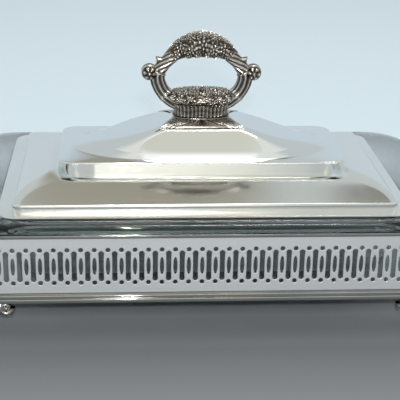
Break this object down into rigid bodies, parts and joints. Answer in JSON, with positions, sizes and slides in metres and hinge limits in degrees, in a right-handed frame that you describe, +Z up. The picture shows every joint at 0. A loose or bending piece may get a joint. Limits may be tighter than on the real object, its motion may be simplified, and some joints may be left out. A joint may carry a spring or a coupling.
{
  "type": "covered casserole dish",
  "caption": "Oblong covered serving dish: a clear glass dish hangs in a footed, pierced metal stand, under a stepped and domed lid with a cast loop handle.",
  "frame": {"origin": "on the ground, under the middle of the stand", "axes": "+X along the length of the dish, +Y from front to back, +Z up"},
  "size_m": [0.355, 0.211, 0.1903],
  "materials": {
    "polished_silver": "bright silver plate on brass sheet, mirror polished",
    "cast_silver": "silver-plated casting, bright on the high parts and oxidised in the recesses",
    "clear_glass": "clear pressed oven glass, fire polished",
    "fixing_brass": "plain turned brass"
  },
  "bodies": {
    "stand": {"base_rail": "polished_silver", "top_rail": "polished_silver", "gallery_front": "polished_silver", "gallery_corner_front_right": "polished_silver", "gallery_right": "polished_silver", "gallery_corner_back_right": "polished_silver", "gallery_back": "polished_silver", "gallery_corner_back_left": "polished_silver", "gallery_left": "polished_silver", "gallery_corner_front_left": "polished_silver", "foot_front_right": "cast_silver", "foot_back_right": "cast_silver", "foot_back_left": "cast_silver", "foot_front_left": "cast_silver"},
    "dish": {"glass_dish": "clear_glass"},
    "lid": {"lid_shoulder": "polished_silver", "lid_dome": "polished_silver", "lid_handle": "cast_silver", "handle_stud_left": "fixing_brass", "handle_stud_right": "fixing_brass", "stud_washer_left": "fixing_brass", "stud_washer_right": "fixing_brass", "stud_nut_left": "fixing_brass", "stud_nut_right": "fixing_brass"}
  },
  "joints": [
    {"name": "dish_lift", "type": "slide", "parent": "stand", "child": "dish", "axis": [0, 0, 1], "range_m": [0, 0.09]},
    {"name": "lid_lift", "type": "slide", "parent": "dish", "child": "lid", "axis": [0, 0, 1], "range_m": [0, 0.12]}
  ]
}
